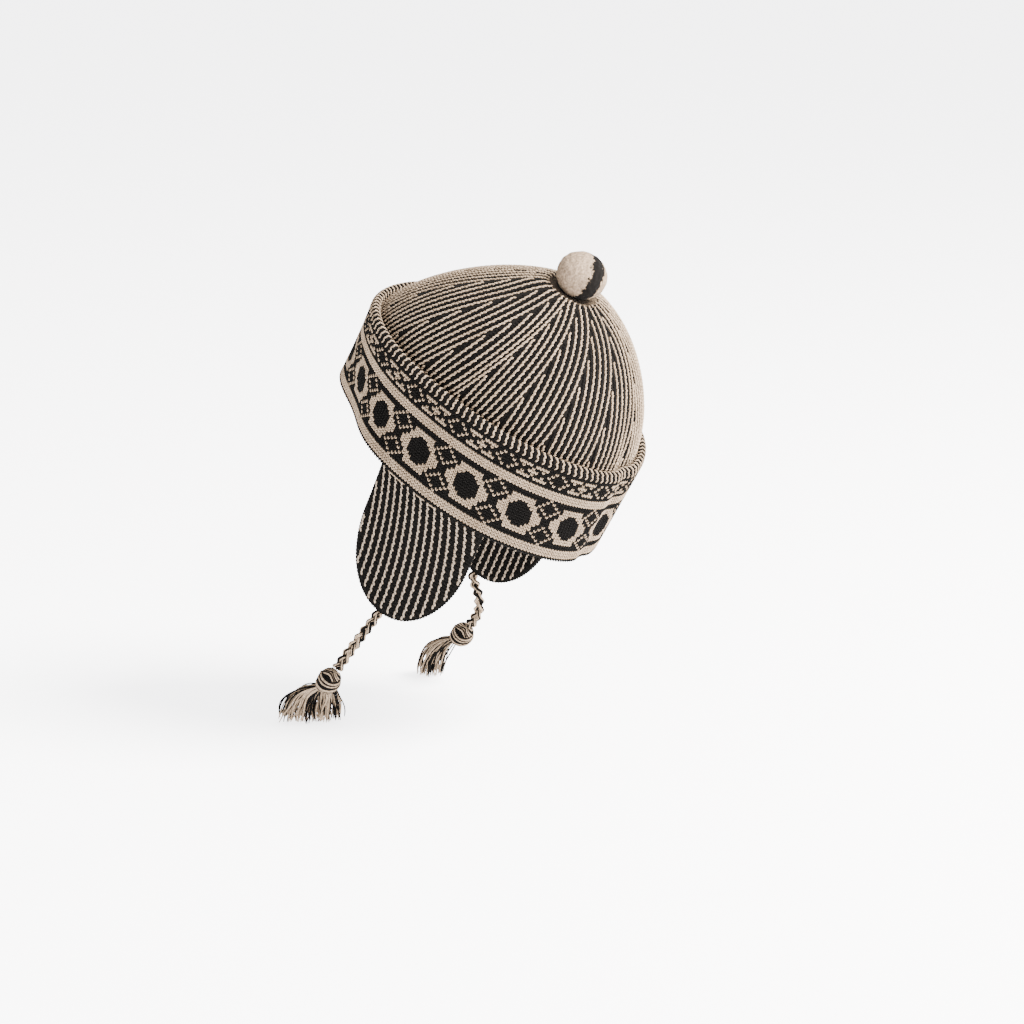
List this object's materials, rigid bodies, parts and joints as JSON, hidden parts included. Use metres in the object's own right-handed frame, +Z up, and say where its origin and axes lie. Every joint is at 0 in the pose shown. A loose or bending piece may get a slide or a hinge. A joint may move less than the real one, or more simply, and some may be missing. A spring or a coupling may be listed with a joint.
{
  "type": "knitted earflap beanie",
  "caption": "Two-colour knitted beanie with a turned-up patterned cuff, rounded earflaps, braided tassel ties and a small felted pompom.",
  "frame": {"origin": "centre of the head opening, in the plane of the cuff's lower edge, the hat held as a head wears it", "axes": "+Z up, -Y to the hat's front, +X to the wearer's left; the opening is tilted back about 31 degrees"},
  "size_m": [0.1597, 0.2119, 0.2948],
  "materials": {
    "crown_knit": "soft wool knit, narrow beige ribs on black",
    "cuff_knit": "soft wool jacquard knit, beige on black",
    "flap_knit": "soft wool knit, narrow beige ribs on black",
    "pompom_felt": "felted wool, beige with a black streak",
    "tie_yarn": "wool yarn, beige and black strands"
  },
  "bodies": {
    "root": {"crown": "crown_knit", "cuff": "cuff_knit", "left_flap": "flap_knit", "right_flap": "flap_knit", "pompom": "pompom_felt", "left_tie": "tie_yarn", "left_knot": "tie_yarn", "left_tassel": "tie_yarn", "right_tie": "tie_yarn", "right_knot": "tie_yarn", "right_tassel": "tie_yarn"}
  },
  "joints": []
}
